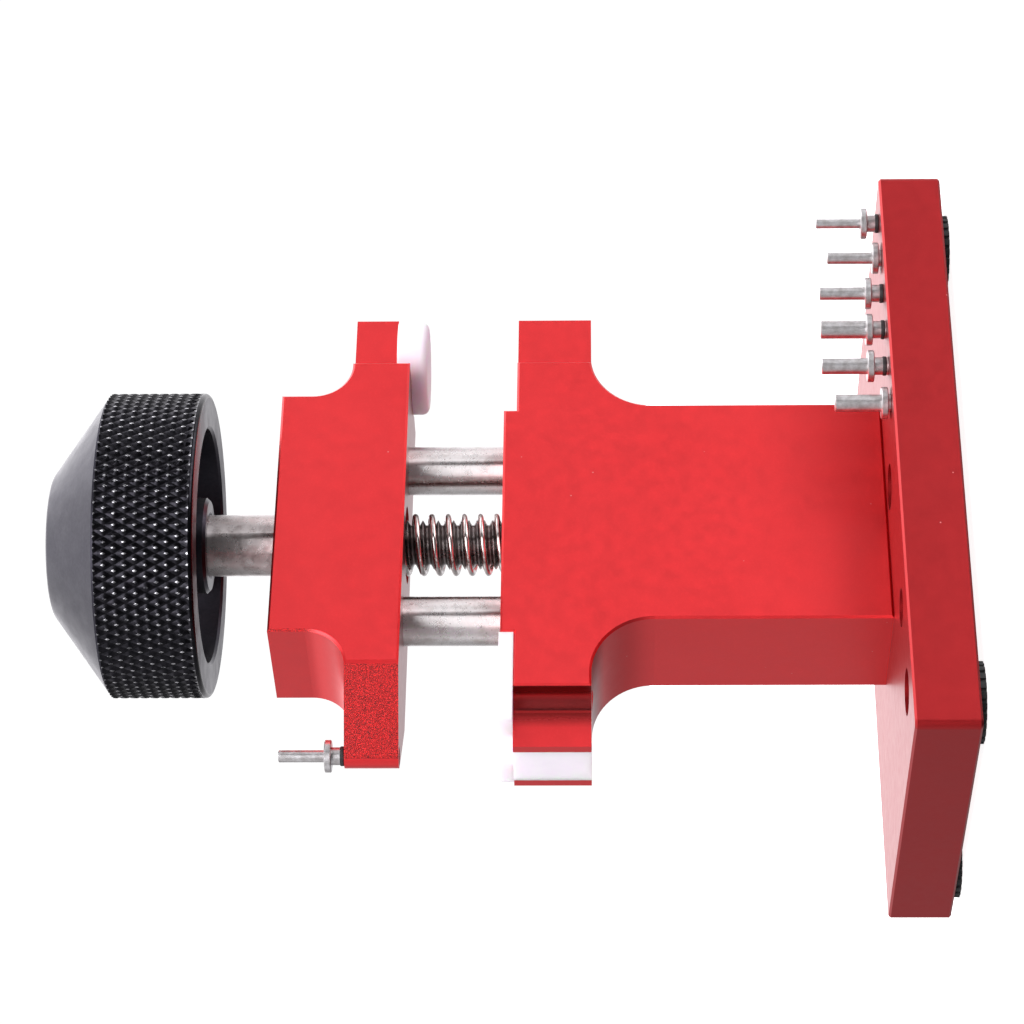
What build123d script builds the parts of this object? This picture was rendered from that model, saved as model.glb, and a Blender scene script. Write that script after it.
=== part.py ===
"""Bench pin press: base plate, column with fixed jaw, moving jaw, screw, knob and press pins.

Millimetres. The press stands on its feet at Z = 0, the spindle axis is the Z axis, the front is -Y.
The left lugs (-X) hold the punch and the nylon anvil, the right lugs (+X) the round nylon pad.
"""

import os
from math import cos, pi, radians, sin

from build123d import *

# Feet and base plate
foot_height = 1.2
foot_radius = 6.2
foot_places = [(-43.6, -20.8), (43.6, -20.8), (-45.2, 23.2), (45.2, 23.2)]
foot_ribs = 24
foot_rib_depth = 0.35
plate_x = 106.0
plate_y = 59.0
plate_thickness = 10.0
plate_corner_radius = 1.2
edge_break = 0.35

# Column and fixed jaw
stem_x = 42.0
block_y = 20.0
lug_end_x = 42.0
lug_y = 11.6
lug_corner_radius = 2.5
column_lug_bottom = 58.45
column_lug_top = 70.6
boss_top = 72.7
boss_left = -23.5
boss_right = 20.0
column_fillet = 10.0
face_left = -33.4
face_right = 30.0
slot_y = 8.4
slot_inner_x = -33.0

# Moving jaw
jaw_bottom = 88.4
jaw_top = 109.2
jaw_x = 46.4
jaw_left_lug_top = 96.9
jaw_right_lug_top = 97.8
jaw_right_lug_bottom = 90.8
jaw_fillet = 6.4
taper_start_x = -29.0
taper_end_x = -41.07
taper_end_y = 1.73
tip_x = -41.98

# Guide rods and spindle
rod_x = 14.9
rod_radius = 4.0
running_gap = 0.05
rod_bottom = 49.2
rod_top = 103.2
rod_bore_bottom = 29.2
thread_radius = 4.0
thread_pitch = 1.25
spindle_bottom = 39.7
shoulder_z = 99.25
shaft_radius = 5.0
shaft_top = 136.2
tip_bore_bottom = 23.2
tip_bore_radius = 4.6
nut_bottom = 42.7
nut_top = 58.7
spring_bore_radius = 6.0
jaw_pocket_radius = 6.3
jaw_pocket_top = 92.4
ring_pocket_radius = 5.7
ring_pocket_top = 94.7
web_top = 98.2
web_bore_radius = 4.2

# Return spring
spring_radius = 4.6
wire_radius = 0.5
spring_pitch = 2.55

# Knob
knob_radius = 24.8
knob_rim = 120.5
band_top = 136.1
cone_top = 145.7
cone_top_radius = 10.6
recess_radius = 19.1
recess_top = 128.7
hub_radius = 7.8
set_screw_z = 132.2
set_screw_radius = 2.0

# Nylon pieces
anvil_right = -23.6
anvil_left = -39.2
anvil_thickness = 2.3
pad_x = 36.4
pad_radius = 7.8
pad_height = 5.0
spigot_radius = 2.5
spigot_height = 4.0

# Press pins: (centre X, flange underside above its seat, tip radius)
pin_row_y = -24.5
pin_shank_radius = 1.4
pin_shank_length = 6.6
pin_flange_radius = 2.55
pin_flange_height = 1.05
pin_tip_length = 7.25
pin_socket_radius = 1.47
pin_socket_depth = 7.5
ring_drop = 1.35
ring_wire = 0.65
ring_free_radius = 1.55
ring_squeezed_radius = 1.44
base_pins = [
    (47.0, 1.95, 0.80),
    (39.6, 0.40, 0.95),
    (32.2, 1.95, 1.05),
    (24.7, 2.10, 1.45),
    (17.3, 2.20, 1.28),
    (9.9, 0.40, 1.35),
]
jaw_pin = (-40.1, 2.05, 0.95)
# Bit sockets: (centre X, centre Y, radius, depth)
bit_sockets = [(-41.8, -20.9, 3.6, 6.5), (-26.6, -20.9, 3.0, 5.5), (0.0, -15.6, 3.7, 7.5)]

# Fasteners in the column
cap_screw_x = 12.0
cap_screw_radius = 3.0
cap_head_radius = 5.0
cap_head_height = 6.0
cap_recess_radius = 5.4
cap_recess_depth = 6.6
cap_screw_length = 20.0

plate_bottom = foot_height
plate_top = foot_height + plate_thickness
half_depth = block_y / 2
half_lug = lug_y / 2
lug_sides = (1, -1)
os.makedirs("parts", exist_ok=True)


def save(piece, name):
    """Label one finished piece and write it under its node name."""
    piece.part.label = name
    export_step(piece.part, f"parts/{name}.step")


def socket_pattern(points, radius, depth):
    """Blind round sockets down from the plate's top face."""
    with Locations(*[(x, y, plate_top) for x, y in points]):
        Hole(radius, depth=depth)


# ---------------------------------------------------------------- base plate
with BuildPart() as base_plate:
    with BuildSketch(Plane.XY.offset(plate_bottom)):
        RectangleRounded(plate_x, plate_y, plate_corner_radius)
    extrude(amount=plate_thickness)
    chamfer(base_plate.faces().sort_by(Axis.Z)[0].edges(), edge_break)
    chamfer(base_plate.faces().sort_by(Axis.Z)[-1].edges(), edge_break)
    socket_pattern([(pin[0], pin_row_y) for pin in base_pins], pin_socket_radius, pin_socket_depth)
    for socket_x, socket_y, socket_radius, socket_depth in bit_sockets:
        socket_pattern([(socket_x, socket_y)], socket_radius, socket_depth)
    with BuildSketch(Plane.XY.offset(plate_bottom)):
        with Locations((cap_screw_x, 0), (-cap_screw_x, 0)):
            Circle(cap_recess_radius)
    extrude(amount=cap_recess_depth, mode=Mode.SUBTRACT)
    with BuildSketch(Plane.XY.offset(plate_bottom + cap_recess_depth)):
        with Locations((cap_screw_x, 0), (-cap_screw_x, 0)):
            Circle(cap_screw_radius + 0.3)
    extrude(amount=plate_thickness - cap_recess_depth, mode=Mode.SUBTRACT)
save(base_plate, "base_plate")

# ---------------------------------------------------------------- rubber feet
with BuildPart() as rubber_feet:
    with BuildSketch(Plane.XY):
        with Locations(*foot_places):
            Circle(foot_radius)
            with PolarLocations(foot_radius, foot_ribs):
                Circle(foot_rib_depth, mode=Mode.SUBTRACT)
    extrude(amount=foot_height)
save(rubber_feet, "rubber_feet")


# ---------------------------------------------------------------- column and fixed jaw
def lug_relief(face_x, end_x, bottom):
    """Profile that cuts the front and back of a lug to its narrow width, with round inner corners."""
    with BuildSketch(Plane.XY.offset(bottom)) as relief:
        for side in lug_sides:
            with BuildLine():
                Polyline(
                    (face_x, side * half_lug),
                    (end_x, side * half_lug),
                    (end_x, side * (half_depth + 1)),
                    (face_x, side * (half_depth + 1)),
                    close=True,
                )
            make_face()
        corners = relief.vertices().filter_by(
            lambda v: abs(v.X - face_x) < 0.01 and abs(v.Y) < half_lug + 0.01
        )
        fillet(corners, lug_corner_radius)
    return relief.sketch


with BuildPart() as column:
    with BuildSketch(Plane.XZ.offset(-half_depth)):
        with BuildLine():
            Polyline(
                (-stem_x / 2, plate_top),
                (stem_x / 2, plate_top),
                (stem_x / 2, column_lug_bottom),
                (lug_end_x, column_lug_bottom),
                (lug_end_x, column_lug_top),
                (boss_right, column_lug_top),
                (boss_right, boss_top),
                (boss_left, boss_top),
                (boss_left, column_lug_top),
                (-lug_end_x, column_lug_top),
                (-lug_end_x, column_lug_bottom),
                (-stem_x / 2, column_lug_bottom),
                close=True,
            )
        make_face()
        armpits = [
            v for v in vertices()
            if abs(abs(v.X) - stem_x / 2) < 0.01 and abs(v.Y - column_lug_bottom) < 0.01
        ]
        fillet(armpits, column_fillet)
    extrude(amount=block_y)
    for face_x, end_x in ((face_right, lug_end_x + 1), (face_left, -lug_end_x - 1)):
        extrude(
            lug_relief(face_x, end_x, column_lug_bottom - 1),
            amount=column_lug_top - column_lug_bottom + 2,
            mode=Mode.SUBTRACT,
        )
    with BuildSketch(Plane.XY.offset(column_lug_bottom - 1)):
        with Locations((slot_inner_x, 0)):
            Circle(slot_y / 2)
        with Locations(((slot_inner_x - lug_end_x - 1) / 2, 0)):
            Rectangle(lug_end_x + 1 + slot_inner_x, slot_y)
    extrude(amount=boss_top - column_lug_bottom, mode=Mode.SUBTRACT)
    chamfer(column.faces().sort_by(Axis.Y)[0].edges(), edge_break)
    chamfer(column.faces().sort_by(Axis.Y)[-1].edges(), edge_break)
    with BuildSketch(Plane.XY.offset(boss_top)):
        with Locations((rod_x, 0), (-rod_x, 0)):
            Circle(rod_radius + running_gap)
    extrude(amount=rod_bore_bottom - boss_top, mode=Mode.SUBTRACT)
    with BuildSketch(Plane.XY.offset(boss_top)):
        Circle(spring_bore_radius)
    extrude(amount=nut_bottom - boss_top, mode=Mode.SUBTRACT)
    with BuildSketch(Plane.XY.offset(nut_bottom)):
        Circle(tip_bore_radius)
    extrude(amount=tip_bore_bottom - nut_bottom, mode=Mode.SUBTRACT)
    with BuildSketch(Plane.XY.offset(plate_top)):
        with Locations((cap_screw_x, 0), (-cap_screw_x, 0)):
            Circle(cap_screw_radius)
    extrude(amount=cap_screw_length - plate_thickness + cap_recess_depth + 1, mode=Mode.SUBTRACT)
save(column, "column")

# ---------------------------------------------------------------- column screws
head_bottom = plate_bottom + cap_recess_depth - cap_head_height
with BuildPart() as column_screws:
    with BuildSketch(Plane.XY.offset(head_bottom)):
        with Locations((cap_screw_x, 0), (-cap_screw_x, 0)):
            Circle(cap_head_radius)
    extrude(amount=cap_head_height)
    with BuildSketch(Plane.XY.offset(head_bottom + cap_head_height)):
        with Locations((cap_screw_x, 0), (-cap_screw_x, 0)):
            Circle(cap_screw_radius)
    extrude(amount=cap_screw_length)
    with BuildSketch(Plane.XY.offset(head_bottom)):
        with Locations((cap_screw_x, 0), (-cap_screw_x, 0)):
            RegularPolygon(cap_screw_radius * 0.96, 6)
    extrude(amount=cap_head_height / 2, mode=Mode.SUBTRACT)
save(column_screws, "column_screws")

# ---------------------------------------------------------------- threaded bush in the column
with BuildPart() as screw_nut:
    with BuildSketch(Plane.XY.offset(nut_bottom)):
        Circle(spring_bore_radius)
        Circle(thread_radius + running_gap, mode=Mode.SUBTRACT)
    extrude(amount=nut_top - nut_bottom)
save(screw_nut, "screw_nut")

# ---------------------------------------------------------------- nylon anvil on the left lug
with BuildPart() as nylon_anvil:
    with BuildSketch(Plane.XY.offset(column_lug_top)):
        with Locations(((anvil_left + anvil_right) / 2, 0)):
            Rectangle(anvil_right - anvil_left, block_y)
    extrude(amount=anvil_thickness)
    fillet(nylon_anvil.edges().filter_by(Axis.Z).group_by(Axis.X)[0], 1.0)
    with BuildSketch(Plane.XY.offset(column_lug_bottom)):
        with Locations((slot_inner_x, 0)):
            Circle(slot_y / 2)
        with Locations(((slot_inner_x - lug_end_x) / 2, 0)):
            Rectangle(lug_end_x + slot_inner_x, slot_y)
    extrude(amount=column_lug_top - column_lug_bottom)
save(nylon_anvil, "nylon_anvil")

# ---------------------------------------------------------------- moving jaw
with BuildPart() as moving_jaw:
    with BuildSketch(Plane.XZ.offset(-half_depth)):
        with BuildLine():
            Polyline(
                (tip_x - 1, jaw_bottom),
                (face_right, jaw_bottom),
                (face_right, jaw_right_lug_bottom),
                (lug_end_x, jaw_right_lug_bottom),
                (lug_end_x, jaw_right_lug_top),
                (jaw_x / 2, jaw_right_lug_top),
                (jaw_x / 2, jaw_top),
                (-jaw_x / 2, jaw_top),
                (-jaw_x / 2, jaw_left_lug_top),
                (tip_x - 1, jaw_left_lug_top),
                close=True,
            )
        make_face()
        shoulders = [
            v for v in vertices()
            if abs(abs(v.X) - jaw_x / 2) < 0.01 and v.Y < jaw_top - 1
        ]
        fillet(shoulders, jaw_fillet)
    extrude(amount=block_y)
    extrude(
        lug_relief(face_right, lug_end_x + 1, jaw_bottom - 1),
        amount=jaw_right_lug_top + jaw_fillet - jaw_bottom,
        mode=Mode.SUBTRACT,
    )
    with BuildSketch(Plane.XY.offset(jaw_bottom - 1)):
        with BuildLine():
            ThreePointArc((taper_end_x, -taper_end_y), (tip_x, 0), (taper_end_x, taper_end_y))
            Polyline(
                (taper_end_x, taper_end_y),
                (taper_start_x, half_depth),
                (taper_start_x, half_depth + 1),
                (tip_x - 2, half_depth + 1),
                (tip_x - 2, -half_depth - 1),
                (taper_start_x, -half_depth - 1),
                (taper_start_x, -half_depth),
                (taper_end_x, -taper_end_y),
            )
        make_face()
    extrude(amount=jaw_left_lug_top - jaw_bottom + 2, mode=Mode.SUBTRACT)
    chamfer(moving_jaw.faces().sort_by(Axis.Y)[0].edges(), edge_break)
    chamfer(moving_jaw.faces().sort_by(Axis.Y)[-1].edges(), edge_break)
    with BuildSketch(Plane.XY.offset(jaw_bottom)):
        with Locations((rod_x, 0), (-rod_x, 0)):
            Circle(rod_radius)
    extrude(amount=rod_top - jaw_bottom, mode=Mode.SUBTRACT)
    with BuildSketch(Plane.XY.offset(jaw_bottom)):
        Circle(jaw_pocket_radius)
    extrude(amount=jaw_pocket_top - jaw_bottom, mode=Mode.SUBTRACT)
    with BuildSketch(Plane.XY.offset(jaw_pocket_top)):
        Circle(ring_pocket_radius)
    extrude(amount=ring_pocket_top - jaw_pocket_top, mode=Mode.SUBTRACT)
    with BuildSketch(Plane.XY.offset(ring_pocket_top)):
        Circle(web_bore_radius)
    extrude(amount=web_top - ring_pocket_top, mode=Mode.SUBTRACT)
    with BuildSketch(Plane.XY.offset(web_top)):
        Circle(shaft_radius + running_gap)
    extrude(amount=jaw_top - web_top, mode=Mode.SUBTRACT)
    with BuildSketch(Plane.XY.offset(jaw_bottom)):
        with Locations((pad_x, 0)):
            Circle(pad_radius + 0.3)
    extrude(amount=jaw_right_lug_bottom - jaw_bottom, mode=Mode.SUBTRACT)
    with BuildSketch(Plane.XY.offset(jaw_right_lug_bottom)):
        with Locations((pad_x, 0)):
            Circle(spigot_radius)
    extrude(amount=spigot_height, mode=Mode.SUBTRACT)
    with Locations((jaw_pin[0], 0, jaw_left_lug_top)):
        Hole(pin_socket_radius)
save(moving_jaw, "moving_jaw")

# ---------------------------------------------------------------- guide rods
for rod_name, centre_x in (("guide_rod_left", -rod_x), ("guide_rod_right", rod_x)):
    with BuildPart() as guide_rod:
        with BuildSketch(Plane.XY.offset(rod_bottom)):
            with Locations((centre_x, 0)):
                Circle(rod_radius)
        extrude(amount=rod_top - rod_bottom)
        chamfer(guide_rod.edges().filter_by(GeomType.CIRCLE), 0.6)
    save(guide_rod, rod_name)

# ---------------------------------------------------------------- nylon pad under the right lug
with BuildPart() as nylon_pad:
    with BuildSketch(Plane.XY.offset(jaw_right_lug_bottom - pad_height)):
        with Locations((pad_x, 0)):
            Circle(pad_radius)
    extrude(amount=pad_height)
    fillet(nylon_pad.edges().filter_by(GeomType.CIRCLE).sort_by(Axis.Z)[0], 1.2)
    with BuildSketch(Plane.XY.offset(jaw_right_lug_bottom)):
        with Locations((pad_x, 0)):
            Circle(spigot_radius)
    extrude(amount=spigot_height)
save(nylon_pad, "nylon_pad")

# ---------------------------------------------------------------- washers in the moving jaw
with BuildPart() as thrust_washer:
    with BuildSketch(Plane.XY.offset(web_top)):
        Circle(shaft_radius)
        Circle(web_bore_radius, mode=Mode.SUBTRACT)
    extrude(amount=1.0)
save(thrust_washer, "thrust_washer")

seat_washer_bottom = jaw_pocket_top - 1.0
with BuildPart() as spring_seat_washer:
    with BuildSketch(Plane.XY.offset(seat_washer_bottom)):
        Circle(jaw_pocket_radius)
        Circle(thread_radius + 0.4, mode=Mode.SUBTRACT)
    extrude(amount=1.0)
save(spring_seat_washer, "spring_seat_washer")

# ---------------------------------------------------------------- lead screw
groove_bottom = ring_pocket_top - 1.2
groove_height = 0.9
groove_radius = 3.2
with BuildPart() as lead_screw:
    with BuildSketch(Plane.XZ):
        with BuildLine():
            Polyline(
                (0, spindle_bottom),
                (thread_radius - 1, spindle_bottom),
                (thread_radius, spindle_bottom + 1),
                (thread_radius, groove_bottom),
                (groove_radius, groove_bottom),
                (groove_radius, groove_bottom + groove_height),
                (thread_radius, groove_bottom + groove_height),
                (thread_radius, shoulder_z),
                (shaft_radius, shoulder_z),
                (shaft_radius, shaft_top),
                (0, shaft_top),
                close=True,
            )
        make_face()
    revolve(axis=Axis.Z)
save(lead_screw, "lead_screw")

with BuildPart() as retaining_ring:
    with BuildSketch(Plane.XY.offset(groove_bottom)):
        Circle(ring_pocket_radius - 0.35)
        Circle(groove_radius, mode=Mode.SUBTRACT)
        with Locations((0, -ring_pocket_radius)):
            Rectangle(3.0, 2 * ring_pocket_radius, mode=Mode.SUBTRACT)
    extrude(amount=groove_height)
save(retaining_ring, "retaining_ring")

# ---------------------------------------------------------------- knob
with BuildPart() as knob:
    with BuildSketch(Plane.XZ):
        with BuildLine():
            Polyline(
                (shaft_radius, knob_rim + 0.6),
                (shaft_radius + 0.6, knob_rim),
                (hub_radius - 0.5, knob_rim),
                (hub_radius, knob_rim + 0.5),
                (hub_radius, recess_top),
                (recess_radius, recess_top),
                (recess_radius, knob_rim + 0.5),
                (recess_radius + 0.5, knob_rim),
                (knob_radius - 1.0, knob_rim),
                (knob_radius, knob_rim + 1.0),
                (knob_radius, band_top),
                (cone_top_radius + 1.5, cone_top - 0.4),
                (cone_top_radius, cone_top),
                (0, cone_top),
                (0, shaft_top),
                (shaft_radius, shaft_top),
                close=True,
            )
        make_face()
    revolve(axis=Axis.Z)
    with BuildSketch(Plane.XZ.offset(-knob_radius)):
        with Locations((0, set_screw_z)):
            Circle(set_screw_radius)
    extrude(amount=knob_radius - shaft_radius + 0.5, mode=Mode.SUBTRACT)
save(knob, "knob")

with BuildPart() as knob_set_screw:
    with BuildSketch(Plane.XZ.offset(-shaft_radius)):
        with Locations((0, set_screw_z)):
            Circle(set_screw_radius)
    extrude(amount=-8.0)
    with BuildSketch(Plane.XZ.offset(-shaft_radius - 8.0)):
        with Locations((0, set_screw_z)):
            RegularPolygon(1.15, 6)
    extrude(amount=2.5, mode=Mode.SUBTRACT)
save(knob_set_screw, "knob_set_screw")

# ---------------------------------------------------------------- return spring
spring_bottom = nut_top + wire_radius
spring_top = seat_washer_bottom - wire_radius
with BuildPart() as return_spring:
    with BuildLine():
        Helix(spring_pitch, spring_top - spring_bottom, spring_radius, center=(0, 0, spring_bottom))
    with BuildSketch(Plane((spring_radius, 0, spring_bottom), x_dir=(1, 0, 0), z_dir=(0, 1, 0))):
        Circle(wire_radius)
    sweep(is_frenet=True)
save(return_spring, "return_spring")


# ---------------------------------------------------------------- press pins and their rings
def press_pin(name, x, y, seat_z, lift, tip_radius):
    """One stepped pin standing in a socket: shank with a ring groove, flange and working tip."""
    flange_z = seat_z + lift
    ring_z = flange_z - ring_drop
    with BuildPart() as pin:
        with BuildSketch(Plane.XZ.offset(-y)):
            with BuildLine():
                Polyline(
                    (x, flange_z - pin_shank_length),
                    (x + pin_shank_radius - 0.3, flange_z - pin_shank_length),
                    (x + pin_shank_radius, flange_z - pin_shank_length + 0.3),
                    (x + pin_shank_radius, ring_z - ring_wire),
                    (x + pin_shank_radius - 0.3, ring_z - ring_wire),
                    (x + pin_shank_radius - 0.3, ring_z),
                    (x + pin_shank_radius, ring_z),
                    (x + pin_shank_radius, flange_z),
                    (x + pin_flange_radius - 0.12, flange_z),
                    (x + pin_flange_radius, flange_z + 0.12),
                    (x + pin_flange_radius, flange_z + pin_flange_height - 0.12),
                    (x + pin_flange_radius - 0.12, flange_z + pin_flange_height),
                    (x + tip_radius, flange_z + pin_flange_height),
                    (x + tip_radius, flange_z + pin_flange_height + pin_tip_length - 0.12),
                    (x + tip_radius - 0.12, flange_z + pin_flange_height + pin_tip_length),
                    (x, flange_z + pin_flange_height + pin_tip_length),
                    close=True,
                )
            make_face()
        revolve(axis=Axis((x, y, 0), (0, 0, 1)))
    save(pin, f"press_pin_{name}")
    outer = ring_free_radius if lift > ring_drop else ring_squeezed_radius
    inner = pin_shank_radius - 0.3
    with BuildPart() as ring:
        with BuildSketch(Plane.XZ.offset(-y)):
            with Locations((x + (outer + inner) / 2, ring_z - ring_wire / 2)):
                RectangleRounded(outer - inner, ring_wire, (outer - inner) * 0.4)
        revolve(axis=Axis((x, y, 0), (0, 0, 1)))
    save(ring, f"pin_ring_{name}")


for index, (pin_x, pin_lift, pin_tip_radius) in enumerate(base_pins, start=1):
    press_pin(index, pin_x, pin_row_y, plate_top, pin_lift, pin_tip_radius)
press_pin(len(base_pins) + 1, jaw_pin[0], 0, jaw_left_lug_top, jaw_pin[1], jaw_pin[2])
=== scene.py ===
"""Looks of the bench pin press: knurl, screw thread, spring coils, finishes, lights and camera.

Metres, in the part's own frame: +Z up the spindle from the feet, -Y the front, -X the punch side.
"""

import math

import bmesh
import bpy
from mathutils import Matrix, Vector


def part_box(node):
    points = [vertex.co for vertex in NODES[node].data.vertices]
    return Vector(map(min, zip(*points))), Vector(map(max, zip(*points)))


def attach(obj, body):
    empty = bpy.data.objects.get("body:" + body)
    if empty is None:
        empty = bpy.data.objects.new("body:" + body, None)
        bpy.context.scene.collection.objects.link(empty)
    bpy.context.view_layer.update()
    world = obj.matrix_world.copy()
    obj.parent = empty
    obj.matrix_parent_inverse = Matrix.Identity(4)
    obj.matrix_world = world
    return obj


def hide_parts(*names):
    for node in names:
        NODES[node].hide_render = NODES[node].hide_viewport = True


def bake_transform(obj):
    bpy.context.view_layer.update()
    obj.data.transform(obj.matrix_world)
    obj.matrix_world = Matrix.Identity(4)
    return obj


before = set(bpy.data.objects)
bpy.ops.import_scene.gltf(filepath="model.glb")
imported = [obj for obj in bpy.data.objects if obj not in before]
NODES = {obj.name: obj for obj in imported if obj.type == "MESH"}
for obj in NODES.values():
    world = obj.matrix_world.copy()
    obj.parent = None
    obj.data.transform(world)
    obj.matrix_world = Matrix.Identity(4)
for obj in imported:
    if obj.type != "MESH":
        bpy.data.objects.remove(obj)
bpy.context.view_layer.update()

TAU = 2 * math.pi
MM = 0.001

# ------------------------------------------------------------------ driving sizes, millimetres
KNURL_COUNT = 86            # grooves of each hand round the knob
KNURL_LEAD = 3.31           # length of one diamond along the knob
KNURL_DEPTH = 0.46
KNURL_FLOOR = 0.05          # half width of a groove's floor, as a share of its pitch
KNURL_CREST = 0.12          # half width of a diamond's flat top, as a share of its pitch
KNURL_RUNOUT = 0.7          # length over which the grooves fade out at the rim
KNURL_FINISH = 1            # material number of the grooves' flanks
CREST_FINISH = 2            # material number of the diamonds' flat tops
KNOB_RIM_CHAMFER = 0.7
KNOB_CONE_HEIGHT = 9.6
KNOB_CONE_TOP_RADIUS = 10.6
KNOB_CONE_TOP_ROUND = 2.6   # radius of the rounding between the cone and its flat top
KNOB_CONE_SLOPE = 55        # degrees at which the cone meets that rounding
KNOB_CONE_INSET = 0.15      # the cone starts this far inside the bottom of the grooves
KNOB_CONE_FOOT = 0.35       # straight height under the cone
KNOB_LIP = 0.4              # broken corners of the recess
KNOB_HUB_LIP = 0.5          # broken corners of the hub
KNOB_RECESS_ROUND = 0.8
KNOB_RECESS_RADIUS = 19.1
KNOB_RECESS_DEPTH = 8.2
KNOB_HUB_RADIUS = 7.8
SET_SCREW_RADIUS = 2.0
DRILL_OVERSHOOT = 1.0       # how much longer the drill is than the wall that it goes through
DRILL_SHIFT = 0.1           # how far outwards of the wall's middle the drill stands

THREAD_PITCH = 1.25
THREAD_DEPTH = 0.767
THREAD_STEPS = 64           # points round one turn of the thread
THREAD_START = 0.9          # where the thread starts above the screw's lower end
THREAD_END_BELOW_GROOVE = 1.2
SCREW_SHOULDER_STEP = 1.0   # difference between the shaft's radius and the thread's
SCREW_CORNER = 0.3          # broken corners of the shaft
SCREW_GROOVE_ABOVE_END = 53.8
SCREW_GROOVE_HEIGHT = 0.9
SCREW_GROOVE_RADIUS = 3.2
SCREW_SHOULDER_ABOVE_END = 59.55

COIL_WIRE = 0.5
COIL_RADIUS = 4.6
COIL_PITCH = 2.62
COIL_STEPS = 56             # points along one turn of the coil
WIRE_SIDES = 14
COIL_SEAT_GAP = 0.45        # clearance at each end, so that the coil never enters its seats
COIL_ANGLE = -35.6          # degrees, where the wire stands at the mark below the moving jaw
COIL_MARK_BELOW_JAW = 1.4
CLOSED_TURNS = 1.25         # turns wound tight at each end
CLOSED_SPACING = 1.03       # pitch of those turns, in wire diameters
COIL_EASING = (-0.12, -0.06, 0, 0.06, 0.12)     # turns over which the change of pitch is smoothed

# ------------------------------------------------------------------ places of finishes and of painted shade, millimetres
# painted shade darkens the milled pocket's wall and fillet from this X towards -X
POCKET_EDGE_X = -33.3       # the milled pocket in the column's left lug starts here
SHADE_BELOW_JAW_TOP = 9.0    # the screw is darkened with painted shade up to here, inside the moving jaw
TAPER_NORMAL = (-0.5652, -0.8250, 0)    # outward normal of the front face of the jaw's tapered lug

# ------------------------------------------------------------------ camera, degrees and metres
CAMERA_YAW = 35.556
CAMERA_PITCH = 1.555
CAMERA_ROLL = 0.212
CAMERA_PLACE = (-0.310575, -0.443671, 0.056635)
CAMERA_SENSOR_MM = 36
CAMERA_LENS_MM = 117.17


# ------------------------------------------------------------------ mesh helpers
def polar(radius, angle, height):
    """A point at a radius, an angle and a height round the spindle axis, from millimetres."""
    return Vector((radius * math.cos(angle), radius * math.sin(angle), height)) * MM


def cut_ring(mesh, height, keep_above):
    """Cuts the mesh flat at a height in millimetres; returns the cut's vertices in order round the axis."""
    outward = (0, 0, -1 if keep_above else 1)
    everything = mesh.verts[:] + mesh.edges[:] + mesh.faces[:]
    cut = bmesh.ops.bisect_plane(
        mesh, geom=everything, dist=1e-8, plane_co=(0, 0, height * MM), plane_no=outward, clear_outer=True
    )
    ring = [item for item in cut["geom_cut"] if isinstance(item, bmesh.types.BMVert)]
    return sorted(ring, key=lambda vertex: math.atan2(vertex.co.y, vertex.co.x))


def turn_profile(mesh, ring, profile, finish=0):
    """Carries a ring of vertices on along a turned profile of (radius, height) points.

    A point at radius 0 closes the shape; otherwise the last ring is returned. finish is a material number.
    """
    angles = [math.atan2(vertex.co.y, vertex.co.x) for vertex in ring]
    for radius, height in profile:
        if radius == 0:
            tip = mesh.verts.new((0, 0, height * MM))
            for i in range(len(ring)):
                mesh.faces.new((ring[i - 1], ring[i], tip)).material_index = finish
            return None
        following = [mesh.verts.new(polar(radius, angle, height)) for angle in angles]
        for i in range(len(ring)):
            mesh.faces.new((ring[i - 1], ring[i], following[i], following[i - 1])).material_index = finish
        ring = following
    return ring


def arc_points(centre_radius, centre_height, radius, start, end, steps=5):
    """Points of a round corner in a turned profile; angles in degrees from the outward direction."""
    points = []
    for i in range(steps + 1):
        angle = math.radians(start + (end - start) * i / steps)
        points.append((centre_radius + radius * math.cos(angle), centre_height + radius * math.sin(angle)))
    return points


def finished_object(mesh, name, sharp_degrees=28, sharp_degrees_in_relief=28):
    """Turns a bmesh into an object with outward normals and crisp creases.

    Creases between faces with a material number above 0 have their own limit.
    """
    bmesh.ops.recalc_face_normals(mesh, faces=mesh.faces[:])
    for face in mesh.faces:
        face.smooth = True
    for edge in mesh.edges:
        relief = all(face.material_index > 0 for face in edge.link_faces)
        limit = sharp_degrees_in_relief if relief else sharp_degrees
        edge.smooth = edge.calc_face_angle(0) < math.radians(limit)
    data = bpy.data.meshes.new(name)
    mesh.to_mesh(data)
    mesh.free()
    piece = bpy.data.objects.new(name, data)
    bpy.context.scene.collection.objects.link(piece)
    return piece


def applied(piece):
    """Applies the piece's modifiers to its mesh."""
    depsgraph = bpy.context.evaluated_depsgraph_get()
    data = bpy.data.meshes.new_from_object(piece.evaluated_get(depsgraph))
    piece.modifiers.clear()
    piece.data = data
    return piece


# ------------------------------------------------------------------ knurled knob
def knurl_share(phase):
    """Height of a groove family's profile at a phase in pitches: 0 on the groove's floor, 1 on the crest."""
    from_groove = min(phase % 1, 1 - phase % 1)
    rise = (from_groove - KNURL_FLOOR) / (0.5 - KNURL_CREST - KNURL_FLOOR)
    return min(max(rise, 0), 1)


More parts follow.
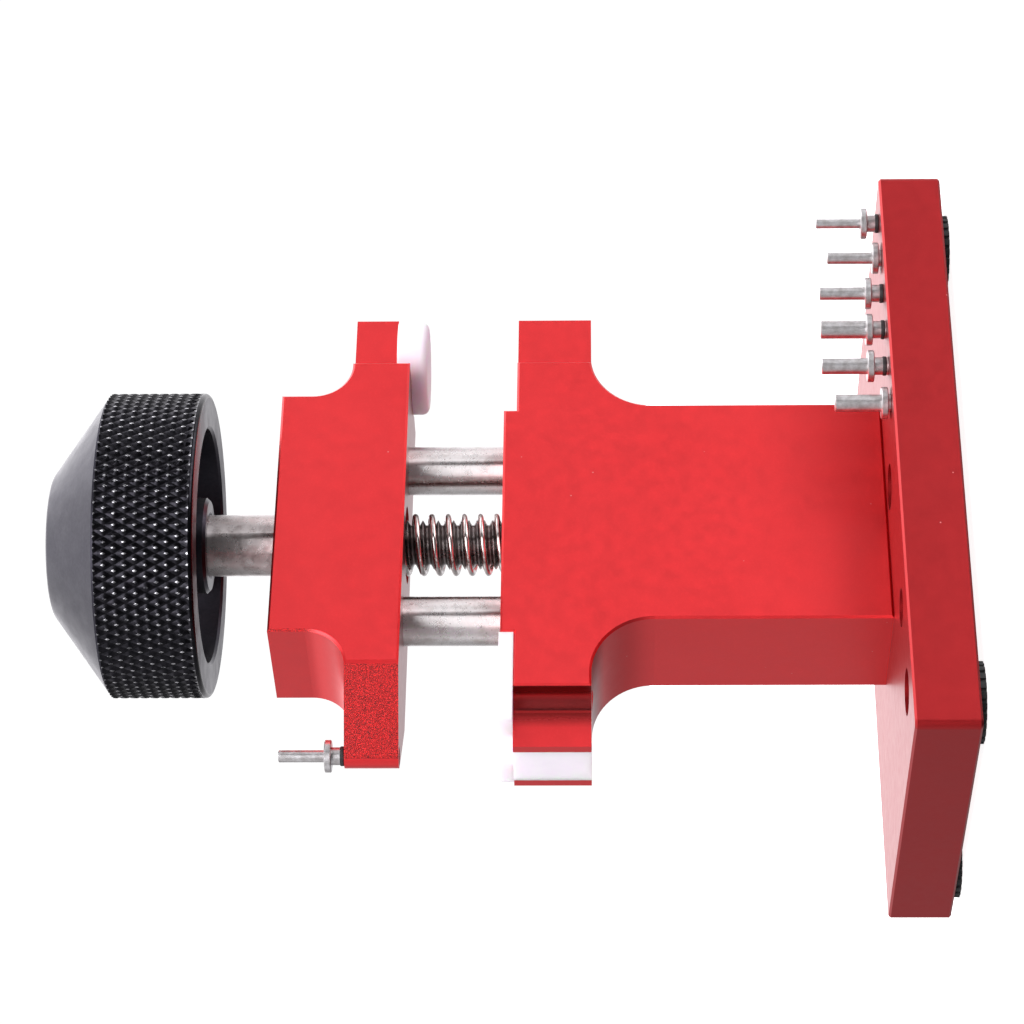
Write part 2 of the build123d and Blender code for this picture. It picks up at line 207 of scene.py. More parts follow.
def knurled_band(mesh, radius, low, high):
    """Adds an open band of diamonds that reaches a little past low and high."""
    breaks = [-KNURL_FLOOR, KNURL_FLOOR, 0.5 - KNURL_CREST, 0.5 + KNURL_CREST]
    per_turn = KNURL_COUNT * len(breaks)

    def phase(index):
        return index // len(breaks) + breaks[index % len(breaks)]

    last_row = int(len(breaks) * (2 * (high - low) / KNURL_LEAD + 2))
    points = {}
    shares = {}
    for row in range(-2 * len(breaks), last_row + 1):
        for a in range(per_turn):
            u, v = phase(a), phase(a - row)
            height = low + (u - v) / 2 * KNURL_LEAD
            share = min(knurl_share(u), knurl_share(v))
            fade = min(max((height - low) / KNURL_RUNOUT, 0), 1)
            angle = (u + v) / 2 * TAU / KNURL_COUNT
            points[row, a] = mesh.verts.new(polar(radius - KNURL_DEPTH * (1 - share) * fade, angle, height))
            shares[row, a] = share
    for row in range(-2 * len(breaks) + 1, last_row):
        for a in range(per_turn):
            up = (a + 1) % per_turn
            keys = [(row, a), (row + 1, up), (row, up), (row - 1, a)]
            corner = [points[key] for key in keys]
            share = [shares[key] for key in keys]
            if abs(share[0] + share[2] - share[1] - share[3]) < 1e-6:
                faces = [mesh.faces.new(corner)]
            elif share[0] + share[2] > share[1] + share[3]:
                faces = [mesh.faces.new((corner[0], corner[1], corner[2])),
                         mesh.faces.new((corner[0], corner[2], corner[3]))]
            else:
                faces = [mesh.faces.new((corner[0], corner[1], corner[3])),
                         mesh.faces.new((corner[1], corner[2], corner[3]))]
            for face in faces:
                face.material_index = CREST_FINISH if min(share) > 0.99 else KNURL_FINISH


def make_knob():
    """The turned knob: diamond knurl, cone on top, deep recess and hub below, set screw hole."""
    low_corner, high_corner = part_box("knob")
    shaft_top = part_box("lead_screw")[1].z / MM
    shaft_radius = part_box("lead_screw")[1].x / MM
    radius = high_corner.x / MM
    rim = low_corner.z / MM
    top = high_corner.z / MM
    band_low = rim + KNOB_RIM_CHAMFER
    band_high = top - KNOB_CONE_HEIGHT
    recess_top = rim + KNOB_RECESS_DEPTH
    cone_edge = radius - KNURL_DEPTH - KNOB_CONE_INSET

    mesh = bmesh.new()
    knurled_band(mesh, radius, band_low, band_high)
    upper_ring = cut_ring(mesh, band_high, keep_above=False)
    lower_ring = cut_ring(mesh, band_low, keep_above=True)
    turn_profile(mesh, upper_ring, [
        (cone_edge, band_high),
        (cone_edge, band_high + KNOB_CONE_FOOT),
        *arc_points(
            KNOB_CONE_TOP_RADIUS, top - KNOB_CONE_TOP_ROUND, KNOB_CONE_TOP_ROUND, KNOB_CONE_SLOPE, 90, 8
        ),
        (KNOB_CONE_TOP_RADIUS * 0.5, top),
        (0, top),
    ])
    lower_ring = turn_profile(mesh, lower_ring, [
        (radius, rim + KNOB_RIM_CHAMFER),
        *arc_points(radius - KNOB_RIM_CHAMFER, rim + KNOB_RIM_CHAMFER, KNOB_RIM_CHAMFER, 0, -90, 6),
    ], KNURL_FINISH)
    turn_profile(mesh, lower_ring, [
        (KNOB_RECESS_RADIUS + KNOB_LIP, rim),
        (KNOB_RECESS_RADIUS, rim + KNOB_LIP),
        *arc_points(
            KNOB_RECESS_RADIUS - KNOB_RECESS_ROUND, recess_top - KNOB_RECESS_ROUND,
            KNOB_RECESS_ROUND, 0, 90, 4,
        ),
        (KNOB_HUB_RADIUS + KNOB_LIP, recess_top),
        (KNOB_HUB_RADIUS, recess_top - KNOB_LIP),
        (KNOB_HUB_RADIUS, rim + KNOB_HUB_LIP),
        (KNOB_HUB_RADIUS - KNOB_HUB_LIP, rim),
        (shaft_radius + KNOB_HUB_LIP, rim),
        (shaft_radius, rim + KNOB_HUB_LIP),
        (shaft_radius, shaft_top),
        (0, shaft_top),
    ])
    knob = finished_object(mesh, "knurled_knob", sharp_degrees_in_relief=50)

    screw_low, screw_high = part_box("knob_set_screw")
    hole_mesh = bmesh.new()
    bmesh.ops.create_cone(
        hole_mesh, cap_ends=True, segments=40,
        radius1=SET_SCREW_RADIUS * MM, radius2=SET_SCREW_RADIUS * MM,
        depth=(radius - shaft_radius + DRILL_OVERSHOOT) * MM,
        matrix=Matrix.Rotation(math.radians(90), 4, "X"),
    )
    hole = finished_object(hole_mesh, "set_screw_hole")
    hole.location = (0, (radius + shaft_radius + 2 * DRILL_SHIFT) / 2 * MM, (screw_low.z + screw_high.z) / 2)
    bpy.context.view_layer.update()
    drill = knob.modifiers.new("drill", "BOOLEAN")
    drill.object = hole
    drill.solver = "EXACT"
    applied(knob)
    bpy.data.objects.remove(hole)
    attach(knob, "spindle")
    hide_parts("knob")
    return knob


# ------------------------------------------------------------------ threaded lead screw
def make_lead_screw():
    """The lead screw: helical thread, ring groove, shoulder and plain shaft."""
    low_corner, high_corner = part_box("lead_screw")
    bottom, shaft_top = low_corner.z / MM, high_corner.z / MM
    shaft_radius = high_corner.x / MM
    thread_radius = shaft_radius - SCREW_SHOULDER_STEP
    root_radius = thread_radius - THREAD_DEPTH
    groove = bottom + SCREW_GROOVE_ABOVE_END
    thread_bottom = bottom + THREAD_START
    thread_top = groove - THREAD_END_BELOW_GROOVE
    shoulder = bottom + SCREW_SHOULDER_ABOVE_END
    # one pitch of the profile: (share of the pitch, radius)
    profile = [(-0.06, thread_radius), (0.06, thread_radius), (0.36, root_radius + 0.04),
               (0.42, root_radius), (0.58, root_radius), (0.64, root_radius + 0.04)]
    pitches = int((thread_top - bottom) / THREAD_PITCH) + 3

    mesh = bmesh.new()
    rows = [(turn + share, radius) for turn in range(-1, pitches) for share, radius in profile]
    grid = []
    for share, radius in rows:
        line = []
        for step in range(THREAD_STEPS):
            angle = TAU * step / THREAD_STEPS
            height = bottom + THREAD_PITCH * (share + step / THREAD_STEPS)
            line.append(mesh.verts.new(polar(radius, angle, height)))
        grid.append(line)
    for j in range(len(rows) - 1):
        for step in range(THREAD_STEPS - 1):
            mesh.faces.new((grid[j][step], grid[j][step + 1], grid[j + 1][step + 1], grid[j + 1][step]))
    for j in range(len(rows) - 1 - len(profile)):
        onward = j + len(profile)
        mesh.faces.new((grid[j][-1], grid[onward][0], grid[onward + 1][0], grid[j + 1][-1]))
    upper_ring = cut_ring(mesh, thread_top, keep_above=False)
    lower_ring = cut_ring(mesh, thread_bottom, keep_above=True)
    turn_profile(mesh, upper_ring, [
        (root_radius, thread_top),
        (root_radius, thread_top + 0.3),
        (thread_radius, thread_top + 0.9),
        (thread_radius, groove),
        (SCREW_GROOVE_RADIUS, groove),
        (SCREW_GROOVE_RADIUS, groove + SCREW_GROOVE_HEIGHT),
        (thread_radius, groove + SCREW_GROOVE_HEIGHT),
        (thread_radius, shoulder),
        (shaft_radius - SCREW_CORNER, shoulder),
        (shaft_radius, shoulder + SCREW_CORNER),
        (shaft_radius, shaft_top - SCREW_CORNER),
        (shaft_radius - SCREW_CORNER, shaft_top),
        (0, shaft_top),
    ])
    turn_profile(mesh, lower_ring, [
        (root_radius, thread_bottom),
        (root_radius - 0.1, bottom + 0.4),
        (root_radius - 0.5, bottom),
        (0, bottom),
    ])
    screw = finished_object(mesh, "threaded_lead_screw")
    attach(screw, "spindle")
    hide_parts("lead_screw")
    return screw


# ------------------------------------------------------------------ return spring
def make_spring():
    """A round-wire compression spring with tight end coils."""
    low_corner, high_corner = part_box("return_spring")
    bottom = low_corner.z / MM + COIL_SEAT_GAP + COIL_WIRE
    top = high_corner.z / MM - COIL_SEAT_GAP - COIL_WIRE
    tight = 2 * COIL_WIRE * CLOSED_SPACING * CLOSED_TURNS
    free_turns = (top - bottom - 2 * tight) / COIL_PITCH
    turns = free_turns + 2 * CLOSED_TURNS

    def height_at(turn):
        if turn < CLOSED_TURNS:
            return bottom + tight * turn / CLOSED_TURNS
        if turn > turns - CLOSED_TURNS:
            return top - tight * (turns - turn) / CLOSED_TURNS
        return bottom + tight + COIL_PITCH * (turn - CLOSED_TURNS)

    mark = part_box("moving_jaw")[0].z / MM - COIL_MARK_BELOW_JAW
    turn_at_mark = CLOSED_TURNS + (mark - bottom - tight) / COIL_PITCH
    start_angle = math.radians(COIL_ANGLE) - TAU * turn_at_mark
    steps = int(turns * COIL_STEPS)
    centres = []
    for i in range(steps + 1):
        turn = turns * i / steps
        near = [height_at(min(max(turn + shift, 0), turns)) for shift in COIL_EASING]
        centres.append(polar(COIL_RADIUS, start_angle + TAU * turn, sum(near) / len(near)))

    mesh = bmesh.new()
    rings = []
    for i, centre in enumerate(centres):
        along = (centres[min(i + 1, steps)] - centres[max(i - 1, 0)]).normalized()
        outward = Vector((centre.x, centre.y, 0)).normalized()
        outward = (outward - along * outward.dot(along)).normalized()
        across = along.cross(outward)
        ring = []
        for side in range(WIRE_SIDES):
            angle = TAU * side / WIRE_SIDES
            offset = (outward * math.cos(angle) + across * math.sin(angle)) * COIL_WIRE * MM
            ring.append(mesh.verts.new(centre + offset))
        rings.append(ring)
    for first, second in zip(rings, rings[1:]):
        for side in range(WIRE_SIDES):
            mesh.faces.new((first[side - 1], first[side], second[side], second[side - 1]))
    mesh.faces.new(rings[0])
    mesh.faces.new(rings[-1])
    spring = finished_object(mesh, "coiled_return_spring", sharp_degrees=50)
    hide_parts("return_spring")
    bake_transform(spring)
    return spring


# ------------------------------------------------------------------ finishes
class Finish:
    """A node material under construction, with helpers that add one node each."""

    def __init__(self, name, base, metallic, roughness, **constants):
        self.material = bpy.data.materials.new(name)
        self.material.use_nodes = True
        self.tree = self.material.node_tree
        self.shader = self.tree.nodes["Principled BSDF"]
        self.shader.inputs["Base Color"].default_value = (*base, 1)
        self.shader.inputs["Metallic"].default_value = metallic
        self.shader.inputs["Roughness"].default_value = roughness
        for socket, value in constants.items():
            self.shader.inputs[socket.replace("_", " ")].default_value = value
        self.coordinates = self.tree.nodes.new("ShaderNodeTexCoord")
        self.normal = None

    def link(self, source, target):
        self.tree.links.new(source, target)

    def stretched(self, stretch):
        mapping = self.tree.nodes.new("ShaderNodeMapping")
        mapping.inputs["Scale"].default_value = stretch
        self.link(self.coordinates.outputs["Object"], mapping.inputs["Vector"])
        return mapping.outputs["Vector"]

    def noise(self, feature_mm, detail=3, rough=0.55, stretch=(1, 1, 1), distortion=0):
        """Noise whose features are about feature_mm across."""
        node = self.tree.nodes.new("ShaderNodeTexNoise")
        node.inputs["Scale"].default_value = 1 / (feature_mm * MM)
        node.inputs["Detail"].default_value = detail
        node.inputs["Roughness"].default_value = rough
        node.inputs["Distortion"].default_value = distortion
        self.link(self.stretched(stretch), node.inputs["Vector"])
        return node.outputs["Fac"]

    def cells(self, feature_mm, stretch=(1, 1, 1)):
        """Distance inside scattered cells about feature_mm apart."""
        node = self.tree.nodes.new("ShaderNodeTexVoronoi")
        node.inputs["Scale"].default_value = 1 / (feature_mm * MM)
        self.link(self.stretched(stretch), node.inputs["Vector"])
        return node.outputs["Distance"]

    def parts(self, coordinate):
        """The X, Y and Z of one of the texture coordinates."""
        node = self.tree.nodes.new("ShaderNodeSeparateXYZ")
        self.link(self.coordinates.outputs[coordinate], node.inputs[0])
        return node.outputs

    def remap(self, source, low, high, to_low=0.0, to_high=1.0):
        node = self.tree.nodes.new("ShaderNodeMapRange")
        node.inputs["From Min"].default_value = low
        node.inputs["From Max"].default_value = high
        node.inputs["To Min"].default_value = to_low
        node.inputs["To Max"].default_value = to_high
        self.link(source, node.inputs["Value"])
        return node.outputs["Result"]

    def maths(self, operation, first, second):
        node = self.tree.nodes.new("ShaderNodeMath")
        node.operation = operation
        for socket, value in zip(node.inputs, (first, second)):
            if isinstance(value, (int, float)):
                socket.default_value = value
            else:
                self.link(value, socket)
        return node.outputs["Value"]

    def tint(self, factor, first, second):
        """A colour between two colours or sockets."""
        node = self.tree.nodes.new("ShaderNodeMix")
        node.data_type = "RGBA"
        self.link(factor, node.inputs["Factor"])
        colour_a, colour_b = node.inputs[6], node.inputs[7]
        for socket, value in ((colour_a, first), (colour_b, second)):
            if isinstance(value, tuple):
                socket.default_value = (*value, 1)
            else:
                self.link(value, socket)
        return node.outputs[2]

    def colour(self, source):
        self.link(source, self.shader.inputs["Base Color"])

    def roughness(self, source):
        self.link(source, self.shader.inputs["Roughness"])

    def bump(self, height, depth_mm, strength=1.0):
        """Adds relief of about depth_mm on top of any relief already there."""
        node = self.tree.nodes.new("ShaderNodeBump")
        node.inputs["Strength"].default_value = strength
        node.inputs["Distance"].default_value = depth_mm * MM
        self.link(height, node.inputs["Height"])
        if self.normal is not None:
            self.link(self.normal, node.inputs["Normal"])
        self.normal = node.outputs["Normal"]
        self.link(self.normal, self.shader.inputs["Normal"])


def red_anodised(name, shade=1.0, gloss=0.7, coarse_face=None, shiny_shaded_pocket_beyond=None):
    """Bead-blasted aluminium dyed red under a clear sealed film.

    shade below 1 darkens the dye and gloss is the film's weight. coarse_face is the normal of a face blasted
    with a coarser grain. The last argument is the X, in millimetres, at which the milled pocket starts; it
    reaches a few millimetres towards -X, is half as rough and is darkened there with painted shade.
    """

    def dye(red, green, blue):
        return (red * shade, green * shade, blue * shade)

    finish = Finish(
        name, dye(0.78, 0.022, 0.027), 1.0, 0.42, Coat_Weight=gloss, Coat_Roughness=0.30, Coat_IOR=1.5,
    )
    place = finish.parts("Object")
    heading = finish.parts("Normal")
    cloud = finish.remap(finish.noise(14, 3), 0.35, 0.65)
    speck = finish.remap(finish.noise(0.45, 2, 0.7), 0.38, 0.62)
    broad = finish.tint(cloud, dye(0.79, 0.024, 0.029), dye(0.77, 0.021, 0.026))
    fine = finish.tint(speck, dye(0.68, 0.016, 0.021), dye(0.84, 0.030, 0.036))
    colour = finish.tint(finish.maths("MULTIPLY", speck, 0.25), broad, fine)
    dust = finish.remap(finish.cells(5.5), 0.012, 0.03, 1, 0)
    colour = finish.tint(dust, colour, (0.82, 0.25, 0.25))
    rough = finish.remap(finish.noise(1.8, 4), 0.3, 0.7, 0.38, 0.46)
    # painted shade: past this X the pocket's wall and fillet are darkened as though shaded; the halved
    # roughness is their milled finish
    if shiny_shaded_pocket_beyond is not None:
        edge = shiny_shaded_pocket_beyond * MM
        inside = finish.maths(
            "MULTIPLY",
            finish.remap(place["X"], edge - 0.1 * MM, edge, 1.0, 0.0),
            finish.remap(place["X"], edge - 5.2 * MM, edge - 3.0 * MM, 0.0, 1.0),
        )
        rough = finish.maths("MULTIPLY", rough, finish.remap(inside, 0.0, 1.0, 1.0, 0.5))
        colour = finish.tint(inside, colour, dye(0.40, 0.003, 0.004))
    finish.roughness(rough)
    finish.bump(finish.noise(0.22, 2, 0.6), 0.012, 0.5)
    if coarse_face:
        facing = finish.tree.nodes.new("ShaderNodeVectorMath")
        facing.operation = "DOT_PRODUCT"
        finish.link(finish.coordinates.outputs["Normal"], facing.inputs[0])
        facing.inputs[1].default_value = coarse_face
        mask = finish.remap(facing.outputs["Value"], 0.97, 0.985)
        grit = finish.noise(0.11, 1, 0.6)
        grains = finish.tint(finish.remap(grit, 0.42, 0.60), dye(0.10, 0.001, 0.001), dye(0.90, 0.022, 0.024))
        colour = finish.tint(mask, colour, grains)
        finish.bump(finish.maths("MULTIPLY", grit, mask), 0.16, 1.0)
    # painted shade: the faces across the spindle are darkened, the undersides most, as though they stood in
    # shade
    across = finish.maths(
        "ADD",
        finish.remap(heading["Z"], -0.95, -0.80, 0.75, 0.0),
        finish.remap(heading["Z"], 0.80, 0.95, 0.0, 0.25),
    )
    finish.colour(finish.tint(across, colour, dye(0.10, 0.002, 0.003)))
    return finish.material


def black_anodised(name, dark, pale, rough, turned=0.0):
    """Aluminium anodised black: a film of varying depth. turned draws reflections out along the axis."""
    finish = Finish(name, dark, 1.0, rough, Anisotropic=turned, Anisotropic_Rotation=0.25)
    speck = finish.remap(finish.noise(0.6, 3), 0.35, 0.65)
    finish.colour(finish.tint(speck, dark, pale))
    finish.roughness(finish.remap(finish.noise(3, 4), 0.3, 0.7, rough - 0.04, rough + 0.05))
    finish.bump(finish.noise(0.25, 2), 0.004, 0.4)
    return finish.material


def ground_steel(name, pale, dark, stain, smooth=0.24, brushed=0.95, shaded_below=None):
    """Ground steel: fine lines round the Z axis that draw reflections out along it, pits and dull stains.

    stain is the weight of the stains; the last argument is the height, in millimetres, under which painted
    shade darkens it.
    """
    finish = Finish(name, pale, 1.0, smooth, Anisotropic=brushed, Anisotropic_Rotation=0.25)
    lines = finish.noise(0.8, 4, 0.65, (1, 1, 8))
    stains = finish.remap(finish.noise(2.2, 5, 0.65), 0.50, 0.72)
    pits = finish.remap(finish.cells(0.9), 0.07, 0.15, 1, 0)
    base = finish.tint(finish.remap(lines, 0.3, 0.7), tuple(0.86 * part for part in pale), pale)
    stained = finish.tint(finish.maths("MULTIPLY", stains, stain), base, dark)
    colour = finish.tint(finish.maths("MULTIPLY", pits, 0.6), stained, tuple(0.4 * part for part in dark))
    if shaded_below is not None:
        # painted shade: the screw is darkened below the given height, where the spring and the moving jaw
        # stand round it
        painted_shade = finish.remap(finish.parts("Object")["Z"], (shaded_below - 1) * MM, shaded_below * MM, 0.62, 0.0)
        colour = finish.tint(painted_shade, colour, tuple(0.5 * part for part in dark))
    finish.colour(colour)
    finish.roughness(finish.remap(finish.noise(1.4, 4), 0.3, 0.7, smooth, smooth + 0.10))
    finish.bump(lines, 0.002, 0.3)
    finish.bump(pits, -0.02, 0.4)
    return finish.material


def satin_pin_steel():
    """Press pins: pale satin steel with lathe rings."""
    finish = Finish("satin_pin_steel", (0.66, 0.655, 0.66), 1.0, 0.34)
    rings = finish.noise(0.35, 3, 0.6, (0.4, 0.4, 7))
    patches = finish.remap(finish.noise(1.1, 4), 0.35, 0.65)
    finish.colour(finish.tint(patches, (0.46, 0.44, 0.435), (0.66, 0.65, 0.655)))
    finish.roughness(finish.remap(rings, 0.3, 0.7, 0.28, 0.42))
    finish.bump(rings, 0.012, 0.6)
    return finish.material


def spring_wire():
    """Drawn spring wire: bright, a little warm."""
    finish = Finish("spring_wire", (0.56, 0.52, 0.50), 1.0, 0.16)
    patches = finish.remap(finish.noise(1.6, 4), 0.35, 0.65)
    finish.colour(finish.tint(patches, (0.40, 0.35, 0.335), (0.62, 0.58, 0.56)))
    finish.roughness(finish.remap(finish.noise(0.7, 3), 0.3, 0.7, 0.12, 0.22))
    finish.bump(finish.noise(0.3, 2), 0.006, 0.4)
    return finish.material


def plain_steel():
    """Zinc-grey fasteners, washers and clips."""
    finish = Finish("plain_steel", (0.36, 0.36, 0.37), 1.0, 0.36)
    patches = finish.remap(finish.noise(0.9, 4), 0.35, 0.65)
    finish.colour(finish.tint(patches, (0.27, 0.27, 0.28), (0.46, 0.46, 0.47)))
    finish.roughness(finish.remap(patches, 0, 1, 0.28, 0.44))
    finish.bump(finish.noise(0.35, 3), 0.008, 0.5)
    return finish.material


def turned_brass():
    """The threaded bush."""
    finish = Finish("turned_brass", (0.72, 0.5, 0.22), 1.0, 0.3)
    rings = finish.noise(0.5, 3, 0.6, (0.4, 0.4, 6))
    finish.colour(finish.tint(finish.remap(rings, 0.3, 0.7), (0.62, 0.42, 0.17), (0.82, 0.6, 0.3)))
    finish.roughness(finish.remap(finish.noise(1.5, 4), 0.3, 0.7, 0.24, 0.38))
    finish.bump(rings, 0.01, 0.5)
    return finish.material


def machined_nylon():
    """White nylon with faint cutter marks and a trace of light passing through."""
    finish = Finish(
        "machined_nylon", (0.86, 0.83, 0.88), 0.0, 0.45,
        Subsurface_Weight=0.7, Subsurface_Radius=(0.004, 0.003, 0.004), Subsurface_Scale=0.8,
    )
    marks = finish.noise(0.7, 3, 0.5, (1, 6, 1))
    cloud = finish.remap(finish.noise(6, 3), 0.35, 0.65)
    finish.colour(finish.tint(cloud, (0.925, 0.855, 0.93), (0.89, 0.82, 0.90)))
    finish.roughness(finish.remap(marks, 0.3, 0.7, 0.4, 0.52))
    finish.bump(marks, 0.01, 0.4)
    return finish.material


def moulded_rubber():
    """Black rubber of the feet and the pins' rings."""
    finish = Finish("moulded_rubber", (0.016, 0.016, 0.017), 0.0, 0.55)
    dust = finish.remap(finish.noise(1.2, 4), 0.45, 0.75)
    finish.colour(finish.tint(dust, (0.012, 0.012, 0.013), (0.035, 0.034, 0.034)))
    finish.roughness(finish.remap(finish.noise(0.8, 3), 0.3, 0.7, 0.45, 0.7))
    finish.bump(finish.noise(0.3, 3), 0.02, 0.6)
    return finish.material


def dress(piece, *materials):
    """Gives a piece its materials, one for each material number of its faces."""
    numbers = [face.material_index for face in piece.data.polygons]
    piece.data.materials.clear()
    for material in materials:
        piece.data.materials.append(material)
    if len(materials) > 1:
        piece.data.polygons.foreach_set("material_index", numbers)


# ------------------------------------------------------------------ pieces and their finishes
knob = make_knob()
lead_screw = make_lead_screw()
spring = make_spring()

# painted shade darkens the lead screw below this height, inside the spring and the moving jaw
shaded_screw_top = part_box("moving_jaw")[1].z / MM - SHADE_BELOW_JAW_TOP
steel = ground_steel("ground_steel", (0.70, 0.675, 0.665), (0.30, 0.24, 0.21), 0.45)
pin_steel = satin_pin_steel()
rubber = moulded_rubber()
grey_steel = plain_steel()
nylon = machined_nylon()

dress(NODES["base_plate"], red_anodised("red_anodised_base", shade=0.50, gloss=0.4))
dress(NODES["column"], red_anodised("red_anodised_column", shiny_shaded_pocket_beyond=POCKET_EDGE_X))
dress(NODES["moving_jaw"], red_anodised("red_anodised_jaw", coarse_face=TAPER_NORMAL))
dress(NODES["guide_rod_left"], steel)
dress(NODES["guide_rod_right"], steel)
dress(
    lead_screw,
    ground_steel("worn_and_shaded_screw_steel", (0.56, 0.52, 0.51), (0.10, 0.055, 0.05), 0.6, shaded_below=shaded_screw_top),
)
dress(
    knob,
    black_anodised("black_anodised_satin", (0.050, 0.048, 0.060), (0.060, 0.058, 0.072), 0.36, turned=0.6),
    # the knurl's flanks are darker than the cone: partly a deeper dye, partly painted shade of the grooves
    black_anodised("black_anodised_knurl_and_groove_shade", (0.010, 0.010, 0.012), (0.022, 0.021, 0.025), 0.22),
    black_anodised("rubbed_knurl_crests", (0.03, 0.03, 0.035), (0.55, 0.55, 0.57), 0.24),
)
dress(spring, spring_wire())
dress(NODES["nylon_anvil"], nylon)
dress(NODES["nylon_pad"], nylon)
dress(NODES["rubber_feet"], rubber)
dress(NODES["screw_nut"], turned_brass())
for name in ("column_screws", "thrust_washer", "spring_seat_washer", "retaining_ring", "knob_set_screw"):
    dress(NODES[name], grey_steel)
for number in range(1, 8):
    dress(NODES[f"press_pin_{number}"], pin_steel)
    dress(NODES[f"pin_ring_{number}"], rubber)


# ------------------------------------------------------------------ floor, light and camera
def make_floor():
    """A plain white floor under the feet."""
    mesh = bmesh.new()
    bmesh.ops.create_grid(mesh, x_segments=8, y_segments=8, size=3.0)
    floor = finished_object(mesh, "floor")
    finish = Finish("floor_paint", (0.9, 0.9, 0.9), 0.0, 0.8)
    cloud = finish.remap(finish.noise(60, 3), 0.3, 0.7)
    finish.colour(finish.tint(cloud, (0.9, 0.9, 0.9), (0.92, 0.92, 0.92)))
    finish.shader.inputs["Emission Color"].default_value = (1, 1, 1, 1)
    finish.shader.inputs["Emission Strength"].default_value = 0.92
    dress(floor, finish.material)
    # the object is lit from below by the surroundings' lower half, as by a larger and dimmer table
    floor.visible_glossy = False
    floor.visible_diffuse = False


# Brightness of the surroundings by bearing: degrees from the camera's side, counter-clockwise from above
LIGHT_BENCH = [
    (-180, 1.00), (-150, 0.60), (-138, 0.40), (-118, 0.50), (-95, 0.55), (-80, 0.80),
    (-40, 0.50), (-25, 0.28), (32, 0.28), (38, 0.04), (45, 0.04), (50, 1.05),
    (60, 0.50), (90, 0.50), (110, 1.10), (150, 1.20), (180, 1.00),
]
LIGHT_WALL = [
    (-180, 1.60), (-150, 1.10), (-138, 0.50), (-118, 0.50), (-95, 0.60), (-80, 0.80),
    (-40, 0.40), (-25, 0.40), (28, 0.40), (34, 0.04), (46, 0.04), (52, 1.10),
    (60, 0.82), (90, 0.82), (110, 1.10), (150, 1.60), (180, 1.60),
]
LIGHT_HIGH = [
    (-180, 2.40), (-160, 1.50), (-140, 0.80), (-115, 0.80), (-104, 1.60), (-80, 1.60),
    (-66, 1.10), (-30, 2.00), (-22, 5.60), (25, 5.60), (31, 0.20), (45, 0.20),
    (52, 1.45), (80, 1.45), (92, 4.00), (118, 4.00), (135, 1.80), (180, 2.40),
]
LIGHT_LOW = [
    (-180, 0.80), (-150, 0.40), (-120, 0.30), (-95, 0.42), (-68, 0.40), (-58, 0.20),
    (36, 0.20), (48, 4.70), (95, 4.70), (125, 0.60), (180, 0.80),
]
LIGHT_TOP = 1.2
LIGHT_BOTTOM = 0.10
LIGHT_SCALE = 6.0           # brightness at the top of the bearing ramps
BACKDROP_STRENGTH = 1.05    # what the camera itself sees behind the object

# Where one band of the surroundings blends into the next, as sines of the elevation
BLEND_BOTTOM_LOW = (-0.88, -0.72)
BLEND_LOW_BENCH = (-0.46, -0.15)
BLEND_BENCH_WALL = (0.036, 0.090)
BLEND_WALL_HIGH = (0.15, 0.36)
BLEND_HIGH_TOP = (0.80, 0.97)


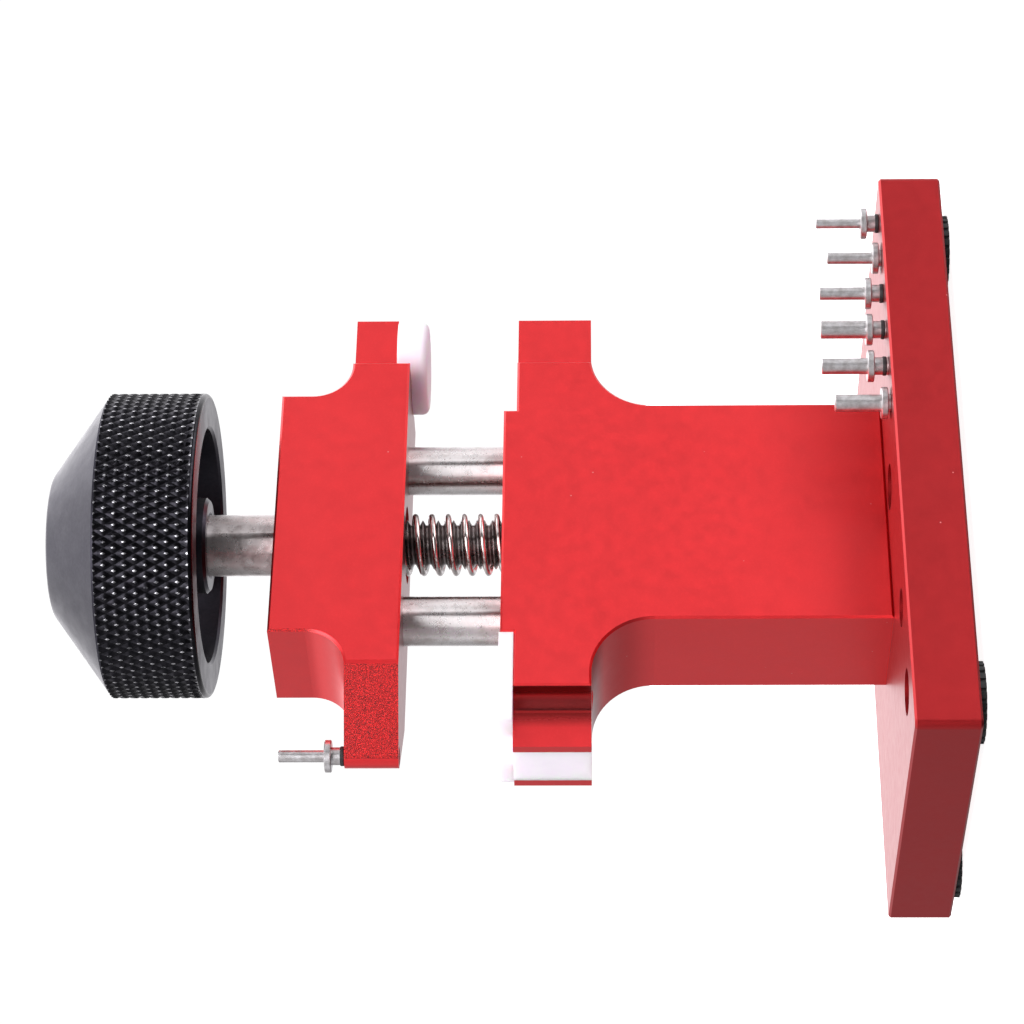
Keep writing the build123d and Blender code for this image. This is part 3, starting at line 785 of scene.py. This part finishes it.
def make_world():
    """White seamless surroundings, banded like a light tent round a bench."""
    world = bpy.data.worlds.new("studio")
    bpy.context.scene.world = world
    world.use_nodes = True
    tree = world.node_tree
    tree.nodes.clear()

    def maths(operation, *values):
        made = tree.nodes.new("ShaderNodeMath")
        made.operation = operation
        for socket, value in zip(made.inputs, values):
            if isinstance(value, (int, float)):
                socket.default_value = value
            else:
                tree.links.new(value, socket)
        return made.outputs[0]

    def along(direction):
        made = tree.nodes.new("ShaderNodeVectorMath")
        made.operation = "DOT_PRODUCT"
        tree.links.new(coordinates.outputs["Generated"], made.inputs[0])
        made.inputs[1].default_value = direction
        return made.outputs["Value"]

    def rise(value, low, high):
        made = tree.nodes.new("ShaderNodeMapRange")
        made.interpolation_type = "SMOOTHSTEP"
        made.inputs["From Min"].default_value = low
        made.inputs["From Max"].default_value = high
        tree.links.new(value, made.inputs["Value"])
        return made.outputs["Result"]

    def between(factor, first, second):
        rest = maths("SUBTRACT", 1, factor)
        return maths("ADD", maths("MULTIPLY", first, rest), maths("MULTIPLY", second, factor))

    def round_about(levels):
        ramp = tree.nodes.new("ShaderNodeValToRGB")
        tree.links.new(turn, ramp.inputs["Fac"])
        stops = ramp.color_ramp.elements
        while len(stops) < len(levels):
            stops.new(0.5)
        for stop, level in zip(stops, levels):
            stop.position = level[0] / 360 + 0.5
        for stop, level in zip(stops, levels):
            share = level[1] / LIGHT_SCALE
            stop.color = (share, share, share, 1)
        return maths("MULTIPLY", ramp.outputs["Color"], LIGHT_SCALE)

    coordinates = tree.nodes.new("ShaderNodeTexCoord")
    yaw = math.radians(CAMERA_YAW)
    bearing = maths(
        "ARCTAN2", along((math.cos(yaw), -math.sin(yaw), 0)), along((-math.sin(yaw), -math.cos(yaw), 0))
    )
    turn = maths("ADD", maths("DIVIDE", bearing, TAU), 0.5)
    height = along((0, 0, 1))
    low = between(rise(height, *BLEND_BOTTOM_LOW), LIGHT_BOTTOM, round_about(LIGHT_LOW))
    high = between(rise(height, *BLEND_HIGH_TOP), round_about(LIGHT_HIGH), LIGHT_TOP)
    wall = between(rise(height, *BLEND_WALL_HIGH), round_about(LIGHT_WALL), high)
    level = between(rise(height, *BLEND_BENCH_WALL), round_about(LIGHT_BENCH), wall)
    brightness = between(rise(height, *BLEND_LOW_BENCH), low, level)

    seen = tree.nodes.new("ShaderNodeBackground")
    seen.inputs["Color"].default_value = (1, 1, 1, 1)
    seen.inputs["Strength"].default_value = BACKDROP_STRENGTH
    ambient = tree.nodes.new("ShaderNodeBackground")
    ambient.inputs["Color"].default_value = (0.985, 0.97, 1.0, 1)
    tree.links.new(brightness, ambient.inputs["Strength"])
    path = tree.nodes.new("ShaderNodeLightPath")
    choose = tree.nodes.new("ShaderNodeMixShader")
    tree.links.new(path.outputs["Is Camera Ray"], choose.inputs[0])
    tree.links.new(ambient.outputs[0], choose.inputs[1])
    tree.links.new(seen.outputs[0], choose.inputs[2])
    output = tree.nodes.new("ShaderNodeOutputWorld")
    tree.links.new(choose.outputs[0], output.inputs["Surface"])


def make_camera():
    """A long lens in front and to the left, turned on its side."""
    yaw, pitch, roll = (math.radians(angle) for angle in (CAMERA_YAW, CAMERA_PITCH, CAMERA_ROLL))
    forward = Vector((math.sin(yaw) * math.cos(pitch), math.cos(yaw) * math.cos(pitch), math.sin(pitch)))
    side = Vector((-math.cos(yaw), math.sin(yaw), 0))
    across = side.cross(forward)
    right = across * math.cos(roll) + side * math.sin(roll)
    down = side * math.cos(roll) - across * math.sin(roll)
    turn = Matrix((right, -down, -forward)).transposed()
    data = bpy.data.cameras.new("camera")
    data.sensor_width = CAMERA_SENSOR_MM
    data.lens = CAMERA_LENS_MM
    data.clip_start = 0.01
    data.clip_end = 20
    camera = bpy.data.objects.new("camera", data)
    camera.matrix_world = Matrix.Translation(CAMERA_PLACE) @ turn.to_4x4()
    bpy.context.scene.collection.objects.link(camera)
    bpy.context.scene.camera = camera


make_floor()
make_world()
make_camera()
bpy.context.scene.view_settings.view_transform = "Standard"
